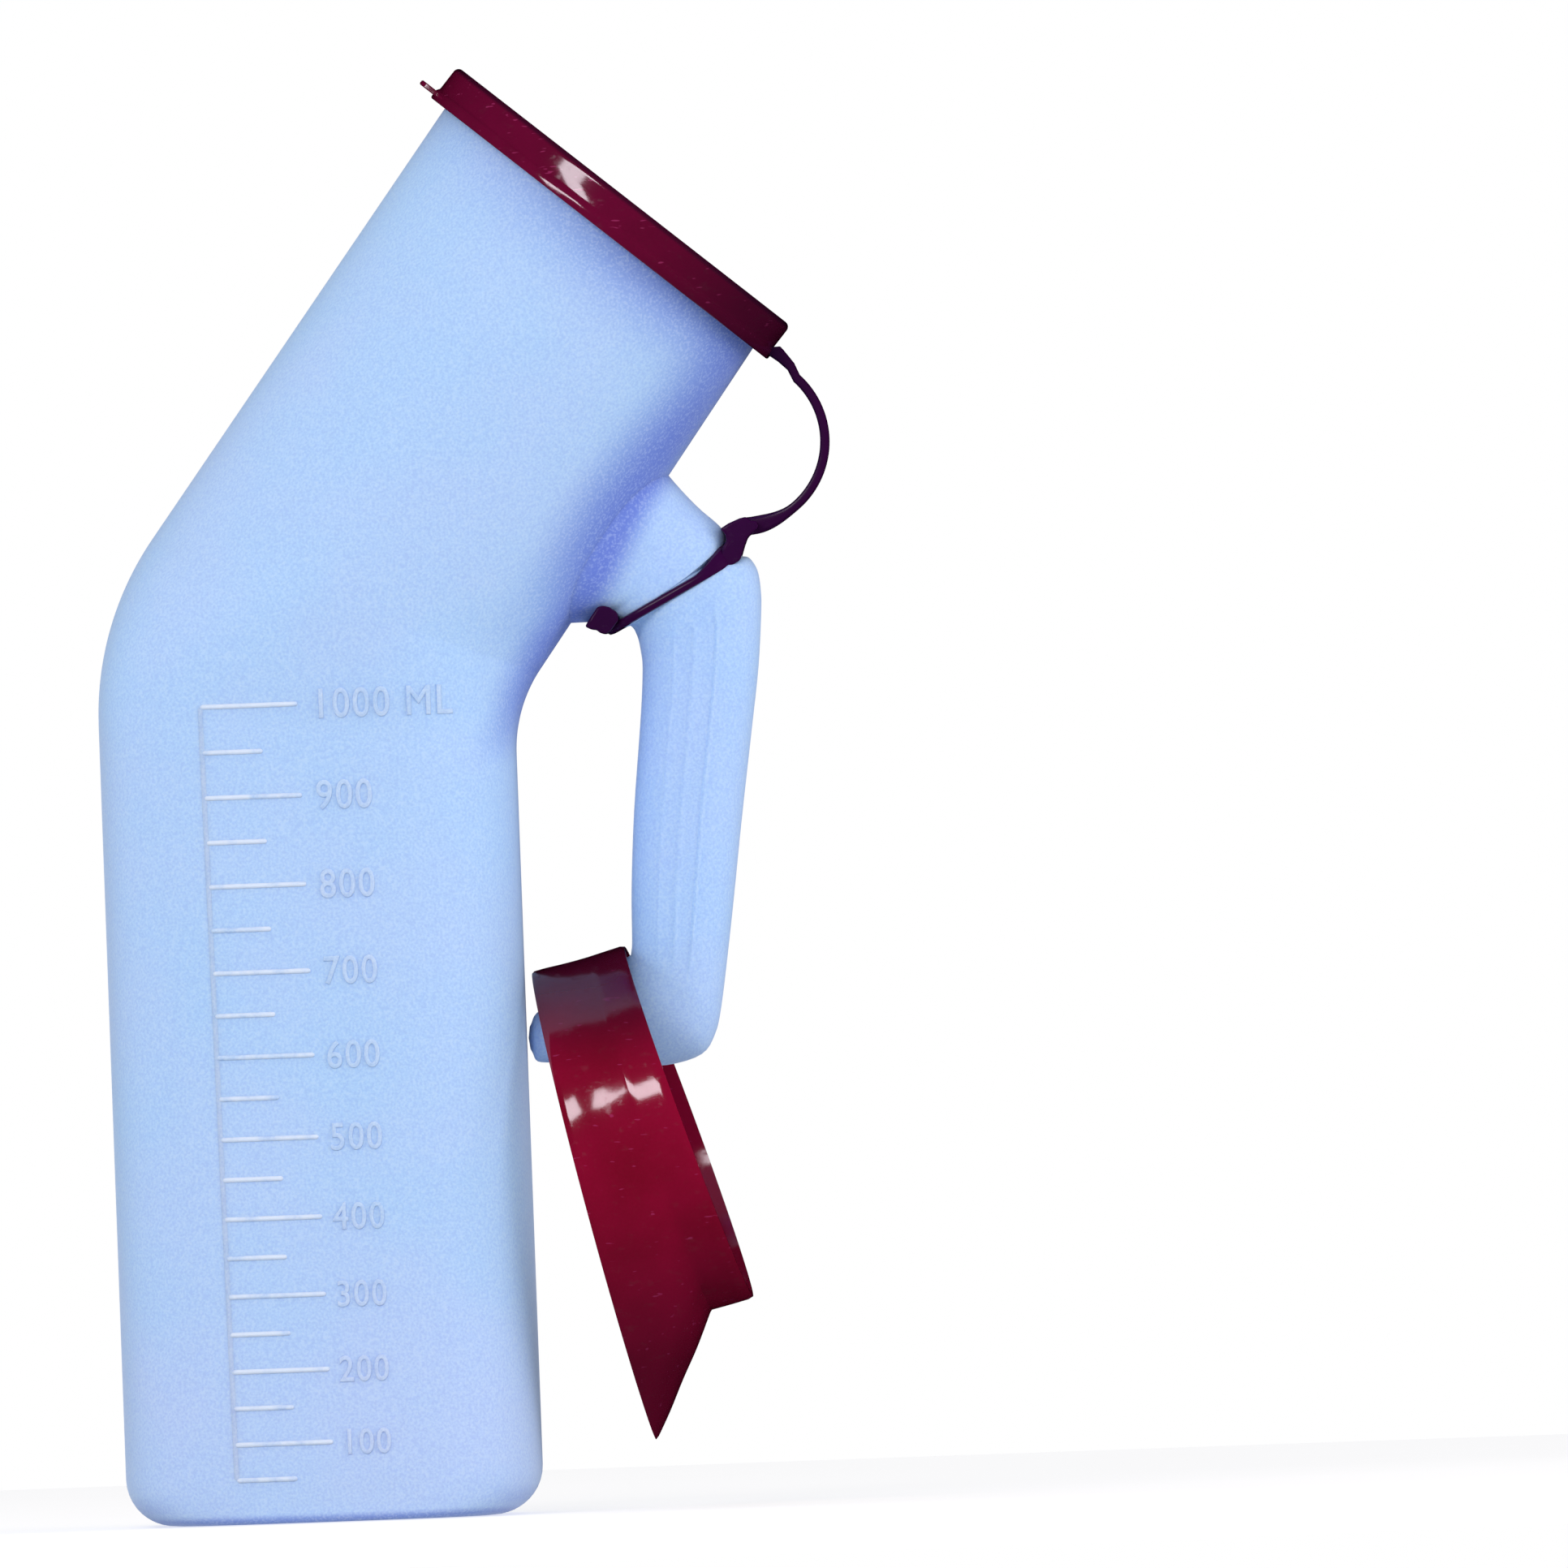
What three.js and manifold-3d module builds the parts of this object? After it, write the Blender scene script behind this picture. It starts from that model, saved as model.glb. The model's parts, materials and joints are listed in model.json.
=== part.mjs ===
// Urine bottle with a bent round neck, a hook handle, a tethered lid and a clip-on adapter.
// Millimetres, +Z up. The origin is the middle of the flat base. +X is the handle side and
// -Y is the front, which carries the graduation scale. The bottle is symmetrical about Y = 0,
// so an outline is a row of sections, each one given by its two ends in the XZ plane.

import * as THREE from "three";
import { mergeVertices } from "three/addons/utils/BufferGeometryUtils.js";
import Module from "manifold-3d";

// ---- driving dimensions ----

const GAP = 0.3; // air between neighbouring solids
const SIDES = 40; // points round a full-size section
const SMALL_SIDES = 24; // points round a handle section

// Barrel and neck
const WALL = 1.6;
const BARREL_LEFT = -43.3;
const BARREL_RIGHT = 43.8;
const HEEL_RADIUS = 10; // corner of the base as seen from the front
const HEEL_ROLL = 4; // rounding of the base towards the front and back
const BASE_HALF_DEPTH = 45.2;
const SHOULDER_HALF_DEPTH = 37.2;
const NECK_HALF_DEPTH = 39.4;
const BARREL_SQUARENESS = 3.3;
const NECK_SQUARENESS = 2.1;
const OUTER_BEND = { start: 168.2, radius: 65, lean: THREE.MathUtils.degToRad(36.4) };
const INNER_BEND = { start: 158.8, radius: 30, lean: THREE.MathUtils.degToRad(34.9) };

// Mouth and lid share one frame: u runs across the mouth and v out of it
const LID_TILT = THREE.MathUtils.degToRad(40);
const LID_CENTRE = plane(65.1, 268.2);
const MOUTH_RADIUS = 40.9;
const MOUTH_BORE = 39.4;
const BEAD_RADIUS = 42;
const BEAD_BOTTOM = 3.2;
const BEAD_TOP = 5.4;
const RIM_TOP = 6.2;

const LID_HEIGHT = 8.6;
const LID_DISC = 1.6;
const LID_EDGE = 1.3;
const SKIRT_OUTER = 44.2;
const SKIRT_INNER = 43.1;
const FLANGE_RADIUS = 44.9;
const FLANGE_HEIGHT = 2.4;
const LIP_OUTER = 37.6;
const LIP_INNER = 36.2;
const LIP_BOTTOM = 3.6;
const TAB_REACH = 48.2;
const TAB_HALF_WIDTH = 8;
const TAB_BOTTOM = 0.8;
const TAB_THICKNESS = 1.1;

// Tether strap: an arc from the collar to the lid, bending at three places
const STRAP_CENTRE = plane(93, 222.5);
const STRAP_RADIUS = 17.8;
const STRAP_THICKNESS = 2;
const STRAP_WIDTH = 11;
const STRAP_START = THREE.MathUtils.degToRad(-74.5);
const STRAP_END = THREE.MathUtils.degToRad(61);
const STRAP_BENDS = [-50, -7, 36].map((angle) => THREE.MathUtils.degToRad(angle));
const BEND_SLIT = THREE.MathUtils.degToRad(3.6); // half the slit at each bend

// Collar loop round the handle's waist
const COLLAR_LEFT = plane(63.2, 183.3);
const COLLAR_RIGHT = plane(91.7, 198.4);
const COLLAR_THICKNESS = 2;
const COLLAR_BAND = 2.4;
const WAIST_HALF_DEPTH = 10;
const WAIST_HEIGHT = 3;
const HANDLE_WALL = 1.5;

// Adapter, hanging on the hook arm
const SWING_PIVOT = plane(58, 102.9);
const ADAPTER_WALL = 1.4;
const ADAPTER_YAW = THREE.MathUtils.degToRad(1.25);

// Graduation scale on the front
const MARKS = 10; // hundreds of millilitres
const FIRST_MARK = 16.7;
const FIRST_STEP = 15.2;
const STEP_GROWTH = 0.483;
const MARK_WIDTH = 1;
const MARK_RELIEF = 0.5;
const SPINE_TOP = -21.3;
const SPINE_BOTTOM = -19.3;
const LONG_MARK = 20.5;
const SHORT_MARK = 12.7;

const MILKY_BLUE = { color: 0xa9c6f0, roughness: 0.5, metalness: 0 };
const CRIMSON = { color: 0x7a0626, roughness: 0.22, metalness: 0 };

const wasm = await Module();
wasm.setup();

// ---- helpers ----

function plane(x, z) {
  return new THREE.Vector2(x, z);
}

function mouthPoint(u, v) {
  const across = plane(Math.cos(LID_TILT), -Math.sin(LID_TILT));
  const out = plane(Math.sin(LID_TILT), Math.cos(LID_TILT));
  return LID_CENTRE.clone().addScaledVector(across, u).addScaledVector(out, v);
}

function collarPoint(along, above) {
  const run = COLLAR_RIGHT.clone().sub(COLLAR_LEFT).normalize();
  const up = plane(-run.y, run.x);
  return COLLAR_LEFT.clone().addScaledVector(run, along).addScaledVector(up, above);
}

// A section is a rounded outline across the XZ plane, from its start to its end point.
// Squareness 2 is an ellipse and more is boxier; narrowing makes the end slimmer than the start.
function section(start, end, halfDepth, squareness = 2, narrowing = 0) {
  return { start, end, halfDepth, squareness, narrowing };
}

function shrunk(outline, wall) {
  const inward = outline.end.clone().sub(outline.start).normalize().multiplyScalar(wall);
  const start = outline.start.clone().add(inward);
  const end = outline.end.clone().sub(inward);
  return { ...outline, start, end, halfDepth: outline.halfDepth - wall };
}

function ring(outline, sides) {
  const middle = outline.start.clone().add(outline.end).divideScalar(2);
  const reach = outline.start.clone().sub(middle);
  const power = 2 / outline.squareness;
  return Array.from({ length: sides }, (_, i) => {
    const angle = (2 * Math.PI * i) / sides;
    const cosine = Math.cos(angle);
    const sine = Math.sin(angle);
    const along = Math.sign(cosine) * Math.abs(cosine) ** power;
    const slimmer = 1 + outline.narrowing * (along - 1) / 2;
    const across = Math.sign(sine) * Math.abs(sine) ** power * slimmer;
    const point = middle.clone().addScaledVector(reach, along);
    return new THREE.Vector3(point.x, across * outline.halfDepth, point.y);
  });
}

// Skins a row of rings. Capped ends give a solid, and a looped row gives a tube with a wall.
function skin(rings, looped = false) {
  const sides = rings[0].length;
  const points = rings.flat();
  const faces = [];
  const spans = looped ? rings.length : rings.length - 1;
  for (let span = 0; span < spans; span += 1) {
    const next = (span + 1) % rings.length;
    for (let i = 0; i < sides; i += 1) {
      const j = (i + 1) % sides;
      const corners = [span * sides + i, span * sides + j, next * sides + j, next * sides + i];
      faces.push(corners[0], corners[1], corners[2], corners[0], corners[2], corners[3]);
    }
  }
  if (!looped) {
    capEnd(points, faces, rings[0], 0, true);
    capEnd(points, faces, rings.at(-1), (rings.length - 1) * sides, false);
  }
  const geometry = new THREE.BufferGeometry().setFromPoints(points);
  geometry.setIndex(faces);
  return outward(geometry);
}

function capEnd(points, faces, outline, first, isStart) {
  const centre = points.length;
  const middle = new THREE.Vector3();
  outline.forEach((point) => middle.add(point));
  points.push(middle.divideScalar(outline.length));
  for (let i = 0; i < outline.length; i += 1) {
    const here = first + i;
    const there = first + ((i + 1) % outline.length);
    faces.push(centre, isStart ? there : here, isStart ? here : there);
  }
}

function volume(geometry) {
  const place = geometry.attributes.position;
  const index = geometry.index.array;
  const corner = [0, 1, 2].map(() => new THREE.Vector3());
  let total = 0;
  for (let i = 0; i < index.length; i += 3) {
    corner.forEach((vector, k) => vector.fromBufferAttribute(place, index[i + k]));
    total += corner[0].dot(corner[1].cross(corner[2]));
  }
  return total;
}

function outward(geometry) {
  if (volume(geometry) < 0) {
    geometry.index.array.reverse();
  }
  return geometry;
}

function toSolid(geometry) {
  const bare = geometry.clone();
  bare.deleteAttribute("normal");
  bare.deleteAttribute("uv");
  const merged = mergeVertices(bare);
  const vertProperties = new Float32Array(merged.attributes.position.array);
  const triVerts = new Uint32Array(merged.index.array);
  return new wasm.Manifold(new wasm.Mesh({ numProp: 3, vertProperties, triVerts }));
}

function toGeometry(solid) {
  const mesh = solid.getMesh();
  const geometry = new THREE.BufferGeometry();
  geometry.setAttribute("position", new THREE.BufferAttribute(mesh.vertProperties, 3));
  geometry.setIndex(new THREE.BufferAttribute(mesh.triVerts, 1));
  return geometry;
}

function part(name, geometry, look) {
  geometry.computeVertexNormals();
  const mesh = new THREE.Mesh(geometry, new THREE.MeshStandardMaterial(look));
  mesh.name = name;
  return mesh;
}

// Extrudes an outline drawn in the XZ plane by the given width, centred on Y = 0.
function slab(points, width) {
  const shape = points instanceof THREE.Shape ? points : new THREE.Shape(points);
  const geometry = new THREE.ExtrudeGeometry(shape, { depth: width, bevelEnabled: false, curveSegments: 10 });
  return geometry.translate(0, 0, -width / 2).rotateX(Math.PI / 2);
}

// A turned ring: the profile is radius and height, closed on itself, round the Z axis.
function turned(profile) {
  const closed = [...profile, profile[0]].map(([radius, height]) => plane(radius, height));
  return new THREE.LatheGeometry(closed, SIDES * 2).rotateX(Math.PI / 2);
}

// ---- bottle ----

// One side of the barrel as three runs: straight wall, bend, straight neck.
function wallRuns(x, bend, mouthSide) {
  const { start, radius, lean } = bend;
  const arc = new THREE.EllipseCurve(x + radius, start, radius, radius, Math.PI, Math.PI - lean, true);
  const barrel = new THREE.LineCurve(plane(x, HEEL_RADIUS), plane(x, start));
  const neck = new THREE.LineCurve(arc.getPoint(1), mouthPoint(mouthSide * MOUTH_RADIUS, 0));
  return [barrel, arc, neck];
}

const LEFT_RUNS = wallRuns(BARREL_LEFT, OUTER_BEND, -1);
const RIGHT_RUNS = wallRuns(BARREL_RIGHT, INNER_BEND, 1);
const RUN_STEPS = [6, 9, 5];
const RUN_DEPTHS = [BASE_HALF_DEPTH, SHOULDER_HALF_DEPTH, NECK_HALF_DEPTH, MOUTH_RADIUS];
const RUN_SQUARENESS = [BARREL_SQUARENESS, BARREL_SQUARENESS, NECK_SQUARENESS, 2];

function heelSections(inset) {
  const steps = 5;
  return Array.from({ length: steps }, (_, i) => {
    const angle = (Math.PI / 2) * (i / steps);
    const corner = HEEL_RADIUS - inset;
    const z = inset + corner * (1 - Math.cos(angle));
    const side = inset + corner * (1 - Math.sin(angle));
    const roll = inset + (HEEL_ROLL - inset) * (1 - Math.sin(angle));
    const left = plane(BARREL_LEFT + side, z);
    const right = plane(BARREL_RIGHT - side, z);
    return section(left, right, BASE_HALF_DEPTH - roll, BARREL_SQUARENESS);
  });
}

function runSections(run, inset) {
  const steps = RUN_STEPS[run];
  return Array.from({ length: steps }, (_, i) => {
    const share = i / steps;
    const halfDepth = THREE.MathUtils.lerp(RUN_DEPTHS[run], RUN_DEPTHS[run + 1], share);
    const squareness = THREE.MathUtils.lerp(RUN_SQUARENESS[run], RUN_SQUARENESS[run + 1], share);
    const ends = [LEFT_RUNS[run].getPoint(share), RIGHT_RUNS[run].getPoint(share)];
    return shrunk(section(...ends, halfDepth, squareness), inset);
  });
}

function mouthSection(radius, height) {
  return section(mouthPoint(-radius, height), mouthPoint(radius, height), radius);
}

function bottleSections(inset) {
  return [...heelSections(inset), ...runSections(0, inset), ...runSections(1, inset), ...runSections(2, inset)];
}

// The flat floor inside the heel, as an upright plate between two heights.
function floorPlate(bottom, top, grown) {
  const [outline] = heelSections(0).map((flat) => shrunk(flat, -grown));
  const levels = [bottom, top].map((z) => {
    return { ...outline, start: plane(outline.start.x, z), end: plane(outline.end.x, z) };
  });
  return toSolid(skin(levels.map((flat) => ring(flat, SIDES))));
}

// The bottle's whole outside as one solid, grown by a clearance, for cutting its neighbours.
function bottleSolid(grown) {
  const mouth = [mouthSection(MOUTH_RADIUS + grown, 0), mouthSection(MOUTH_RADIUS + grown, RIM_TOP)];
  const sections = [...bottleSections(-grown), ...mouth];
  return toSolid(skin(sections.map((outline) => ring(outline, SIDES))));
}

function bottleShell(cavity) {
  const bead = [
    mouthSection(MOUTH_RADIUS, 0),
    mouthSection(MOUTH_RADIUS, BEAD_BOTTOM - (BEAD_RADIUS - MOUTH_RADIUS)),
    mouthSection(BEAD_RADIUS, BEAD_BOTTOM),
    mouthSection(BEAD_RADIUS, BEAD_TOP),
    mouthSection(MOUTH_RADIUS, RIM_TOP),
    mouthSection(MOUTH_BORE, RIM_TOP),
    mouthSection(MOUTH_BORE, 0),
  ];
  const inside = bottleSections(WALL).reverse();
  const rings = [...bottleSections(0), ...bead, ...inside].map((outline) => ring(outline, SIDES));
  const body = toSolid(skin(rings)).subtract(cavity);
  return toGeometry(body.subtract(floorPlate(-WALL, 2 * WALL, GAP)));
}

// Height of a fill mark. The steps grow because the barrel gets shallower upwards.
function markHeight(hundreds) {
  const steps = hundreds - 1;
  return FIRST_MARK + FIRST_STEP * steps + (STEP_GROWTH * steps * (steps - 1)) / 2;
}

function scaleOutline() {
  const half = MARK_WIDTH / 2;
  const bottom = markHeight(0.5);
  const top = markHeight(MARKS);
  const spine = (z) => THREE.MathUtils.mapLinear(z, bottom, top, SPINE_BOTTOM, SPINE_TOP);
  const points = [plane(spine(top) - half, top + half)];
  for (let mark = 2 * MARKS; mark >= 1; mark -= 1) {
    const z = markHeight(mark / 2);
    const root = spine(z) + half;
    const end = spine(z) + (mark % 2 ? SHORT_MARK : LONG_MARK);
    points.push(plane(root, z + half), plane(end, z + half), plane(end, z - half), plane(root, z - half));
  }
  points.push(plane(spine(bottom) - half, bottom - half));
  return points.filter((point, i) => i === 0 || !point.equals(points[i - 1]));
}

// The raised scale: a skin over the bottle's front, cut to the outline of the marks.
function graduationScale() {
  const outer = bottleSolid(GAP + MARK_RELIEF);
  const relief = outer.subtract(bottleSolid(GAP));
  const cutter = slab(scaleOutline(), BASE_HALF_DEPTH * 2).translate(0, -BASE_HALF_DEPTH, 0);
  return toGeometry(relief.intersect(toSolid(cutter)));
}

// ---- handle ----

// Upper arm, waist, grip, elbow and free hook arm, from inside the neck to the open end.
function handleSections() {
  const waist = WAIST_HEIGHT / 2;
  return [
    section(plane(46, 190), plane(66, 228), 13.5, 2.6),
    section(plane(56.5, 186.3), plane(77.1, 215.3), 13, 2.6),
    section(plane(61, 185.8), plane(84.5, 208.3), 12.6, 2.6),
    section(collarPoint(2.2, 2.6), plane(88.6, 204.1), 12.3, 2.6),
    section(collarPoint(2.8, 1.9), plane(89.4, 201.9), 12.2, 2.6),
    section(collarPoint(4.2, waist), collarPoint(29, waist), WAIST_HALF_DEPTH, 2.6),
    section(collarPoint(4.2, -waist), collarPoint(29, -waist), WAIST_HALF_DEPTH, 2.6),
    section(collarPoint(5.2, -1.9), collarPoint(33.4, -2), 12, 2.6),
    section(plane(70.2, 181), plane(95.9, 194.5), 12, 2.6),
    section(plane(70.9, 176.4), plane(96.2, 187.3), 11.6, 2.6),
    section(plane(70.6, 171), plane(95.2, 175.5), 11.4, 2.6),
    section(plane(69.9, 163.5), plane(93.4, 163), 11.2, 2.6),
    section(plane(68, 145.8), plane(90.5, 143.5), 11, 2.6),
    section(plane(66.9, 130), plane(88.3, 127.5), 11, 2.6),
    section(plane(66.6, 119), plane(86.6, 115.8), 11, 2.5),
    section(plane(66.4, 116.9), plane(84.8, 104.5), 10.8, 2.4),
    section(plane(66.3, 116.2), plane(83.3, 98.8), 10.4, 2.3),
    section(plane(66.1, 115.8), plane(80.3, 94.6), 10, 2.2),
    section(plane(65, 115.2), plane(73.1, 92.6), 9.6, 2),
    section(plane(62, 113.9), plane(64, 92.8), 9.2, 2),
    section(plane(57, 111.6), plane(57, 93.2), 8.4, 2),
    section(plane(50, 107.2), plane(50, 93.9), 6.6, 2),
    section(plane(46, 104.4), plane(46, 94.3), 5, 2),
    section(plane(45, 102.6), plane(45, 96), 3.2, 2),
  ];
}

function handleCavity() {
  const inside = handleSections().slice(0, -2).map((outline) => shrunk(outline, HANDLE_WALL));
  return toSolid(skin(inside.map((outline) => ring(outline, SMALL_SIDES))));
}

// The handle's whole outside as one solid, grown by a clearance.
function handleSolid(grown) {
  const rings = handleSections().map((outline) => ring(shrunk(outline, -grown), SMALL_SIDES));
  return toSolid(skin(rings));
}

function handle(cavity) {
  return toGeometry(handleSolid(0).subtract(cavity).subtract(bottleSolid(GAP)));
}

// ---- lid, strap and collar ----

function lidCap() {
  const under = LID_HEIGHT - LID_DISC;
  const edge = LID_HEIGHT - LID_EDGE;
  const profile = [
    [0, under],
    [SKIRT_INNER, under],
    [SKIRT_INNER, 0],
    [FLANGE_RADIUS, 0],
    [FLANGE_RADIUS, FLANGE_HEIGHT],
    [SKIRT_OUTER, FLANGE_HEIGHT],
    [SKIRT_OUTER, edge],
    [SKIRT_OUTER - LID_EDGE * (1 - Math.SQRT1_2), LID_HEIGHT - LID_EDGE * (1 - Math.SQRT1_2)],
    [SKIRT_OUTER - LID_EDGE, LID_HEIGHT],
    [0, LID_HEIGHT],
  ].map(([radius, height]) => plane(radius, height));
  return new THREE.LatheGeometry(profile, SIDES * 2).rotateX(Math.PI / 2);
}

function lidSealLip() {
  const top = LID_HEIGHT - LID_DISC - GAP;
  return turned([[LIP_INNER, LIP_BOTTOM], [LIP_OUTER, LIP_BOTTOM], [LIP_OUTER, top], [LIP_INNER, top]]);
}

function lidPullTab() {
  const root = FLANGE_RADIUS + GAP;
  const spread = Math.asin(TAB_HALF_WIDTH / root);
  const shape = new THREE.Shape();
  shape.absarc(0, 0, root, Math.PI - spread, Math.PI + spread, false);
  shape.quadraticCurveTo(-TAB_REACH, -TAB_HALF_WIDTH, -TAB_REACH, -TAB_HALF_WIDTH / 2);
  shape.lineTo(-TAB_REACH, TAB_HALF_WIDTH / 2);
  shape.quadraticCurveTo(-TAB_REACH, TAB_HALF_WIDTH, root * Math.cos(Math.PI - spread), TAB_HALF_WIDTH);
  return new THREE.ExtrudeGeometry(shape, { depth: TAB_THICKNESS, bevelEnabled: false }).translate(0, 0, TAB_BOTTOM);
}

function strapPiece(from, to) {
  const outer = STRAP_RADIUS + STRAP_THICKNESS / 2;
  const inner = STRAP_RADIUS - STRAP_THICKNESS / 2;
  const shape = new THREE.Shape();
  shape.absarc(STRAP_CENTRE.x, STRAP_CENTRE.y, outer, from, to, false);
  shape.absarc(STRAP_CENTRE.x, STRAP_CENTRE.y, inner, to, from, true);
  return slab(shape, STRAP_WIDTH);
}

function strapLidEnd() {
  const arc = toSolid(strapPiece(STRAP_BENDS[2] + BEND_SLIT, STRAP_END));
  const root = FLANGE_RADIUS + GAP;
  const heel = [mouthPoint(root, 0.1), mouthPoint(root, 2.3), mouthPoint(46.2, 2.1), mouthPoint(47.5, 1.2)];
  const under = [mouthPoint(47.8, -0.6), mouthPoint(46.2, -0.2)];
  return toGeometry(arc.add(toSolid(slab([...heel, ...under].reverse(), STRAP_WIDTH))));
}

function strapCollar() {
  const length = COLLAR_RIGHT.distanceTo(COLLAR_LEFT);
  const halfDepth = WAIST_HALF_DEPTH + 2 * GAP + COLLAR_BAND;
  const outline = section(collarPoint(0.6, 0), collarPoint(length - 0.2, 0), halfDepth, 3.2);
  const opening = section(collarPoint(3.4, 0), collarPoint(29.8, 0), WAIST_HALF_DEPTH + 2 * GAP, 2.8);
  const lifted = (flat, above) => {
    const lift = collarPoint(0, above).sub(COLLAR_LEFT);
    return { ...flat, start: flat.start.clone().add(lift), end: flat.end.clone().add(lift) };
  };
  const half = COLLAR_THICKNESS / 2;
  const band = [lifted(outline, -half), lifted(outline, half), lifted(opening, half), lifted(opening, -half)];
  const loop = toSolid(skin(band.map((flat) => ring(flat, SIDES)), true));
  const lipped = [plane(59.4, 184.9), plane(62, 183.6), plane(63.6, 183.4), plane(65.6, 184.9)];
  const leftBlock = [...lipped, collarPoint(3.2, 1.2), plane(63.4, 188.6), plane(62.2, 188.9)];
  const rightBlock = [
    collarPoint(30.2, -0.9),
    collarPoint(31.6, -0.9),
    plane(93.4, 200.9),
    plane(95.6, 203.2),
    plane(96.4, 204),
    plane(96.2, 205.9),
    plane(94.6, 205.7),
    plane(93.4, 206.5),
    plane(91, 205.9),
    plane(90.1, 205.3),
    plane(90.4, 202),
    plane(89.9, 200.4),
  ];
  const blocks = toSolid(slab(leftBlock, STRAP_WIDTH)).add(toSolid(slab(rightBlock, STRAP_WIDTH)));
  return toGeometry(loop.add(blocks).subtract(handleSolid(GAP)));
}

// ---- adapter ----

function adapterPiece(sections) {
  const outside = sections.map((outline) => ring(outline, SIDES));
  const inside = sections.map((outline) => ring(shrunk(outline, ADAPTER_WALL), SIDES)).reverse();
  return skin([...outside, ...inside], true).translate(-SWING_PIVOT.x, 0, -SWING_PIVOT.y);
}

function adapterCollar() {
  return adapterPiece([
    section(plane(64.9, 118), plane(89.3, 43.2), 39.3),
    section(plane(61.4, 117), plane(85.1, 42.1), 39.25),
    section(plane(58, 116), plane(80.7, 41.1), 39.2),
  ]);
}

function adapterHood() {
  return adapterPiece([
    section(plane(57.6, 115.9), plane(80.2, 40.9), 39.2),
    section(plane(54.4, 115.1), plane(77.1, 33.2), 39.7, 2, 0.03),
    section(plane(51.2, 114.4), plane(73.9, 26.6), 40.2, 2, 0.07),
    section(plane(48.2, 113.8), plane(70.9, 19.9), 40.6, 2, 0.12),
    section(plane(45.4, 113.1), plane(67.9, 14), 41, 2, 0.16),
  ]);
}

// ---- assembly ----

function hung(mesh) {
  mesh.position.set(SWING_PIVOT.x, 0, SWING_PIVOT.y);
  mesh.rotation.z = -ADAPTER_YAW;
  return mesh;
}

function buildLid() {
  const lid = new THREE.Group();
  lid.position.set(LID_CENTRE.x, 0, LID_CENTRE.y);
  lid.rotation.y = LID_TILT;
  lid.add(part("lid_cap", lidCap(), CRIMSON));
  lid.add(part("lid_seal_lip", lidSealLip(), CRIMSON));
  lid.add(part("lid_pull_tab", lidPullTab(), CRIMSON));
  return lid;
}

function buildStrap() {
  const strap = new THREE.Group();
  const [low, middle, high] = STRAP_BENDS;
  strap.add(part("strap_collar", strapCollar(), CRIMSON));
  strap.add(part("strap_collar_end", strapPiece(STRAP_START, low - BEND_SLIT), CRIMSON));
  strap.add(part("strap_link_lower", strapPiece(low + BEND_SLIT, middle - BEND_SLIT), CRIMSON));
  strap.add(part("strap_link_upper", strapPiece(middle + BEND_SLIT, high - BEND_SLIT), CRIMSON));
  strap.add(part("strap_lid_end", strapLidEnd(), CRIMSON));
  return strap;
}

function buildBottle() {
  const bottle = new THREE.Group();
  const cavity = handleCavity();
  bottle.add(part("bottle_shell", bottleShell(cavity), MILKY_BLUE));
  bottle.add(part("bottle_floor", toGeometry(floorPlate(0, WALL, 0)), MILKY_BLUE));
  bottle.add(part("graduation_scale", graduationScale(), MILKY_BLUE));
  bottle.add(part("handle", handle(cavity), MILKY_BLUE));
  return bottle;
}

const urineBottle = new THREE.Group();
urineBottle.add(buildBottle(), buildLid(), buildStrap());
urineBottle.add(hung(part("adapter_collar", adapterCollar(), CRIMSON)));
urineBottle.add(hung(part("adapter_hood", adapterHood(), CRIMSON)));

export default urineBottle;
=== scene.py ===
"""Handheld urine bottle: milky blue body, hollow hook handle, tethered crimson lid and adapter."""
import json
import math

import bmesh
import bpy
from mathutils import Matrix, Vector

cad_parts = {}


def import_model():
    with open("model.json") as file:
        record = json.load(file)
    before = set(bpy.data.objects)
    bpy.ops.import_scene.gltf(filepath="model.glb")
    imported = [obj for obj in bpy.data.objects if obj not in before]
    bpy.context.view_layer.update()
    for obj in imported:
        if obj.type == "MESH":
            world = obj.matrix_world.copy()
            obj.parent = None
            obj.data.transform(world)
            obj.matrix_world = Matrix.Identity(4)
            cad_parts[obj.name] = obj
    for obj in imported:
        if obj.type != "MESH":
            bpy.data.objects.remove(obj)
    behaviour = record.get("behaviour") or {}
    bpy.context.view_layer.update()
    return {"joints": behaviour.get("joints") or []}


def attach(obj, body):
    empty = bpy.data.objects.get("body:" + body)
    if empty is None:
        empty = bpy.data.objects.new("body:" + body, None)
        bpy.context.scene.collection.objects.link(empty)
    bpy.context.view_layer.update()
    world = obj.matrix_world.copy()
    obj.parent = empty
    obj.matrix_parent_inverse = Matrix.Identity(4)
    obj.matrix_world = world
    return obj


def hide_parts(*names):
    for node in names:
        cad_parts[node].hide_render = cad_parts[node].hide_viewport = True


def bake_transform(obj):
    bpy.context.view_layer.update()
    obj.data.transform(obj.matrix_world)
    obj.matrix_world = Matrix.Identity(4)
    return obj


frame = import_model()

# ---- driving sizes, in millimetres; the front is -Y and +X is the handle side ----

MM = 0.001
ROUND = 2 * math.pi

BODY_SIDES = 144
HANDLE_SIDES = 72
LID_SIDES = 144
STRAP_SIDES = 16

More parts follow.
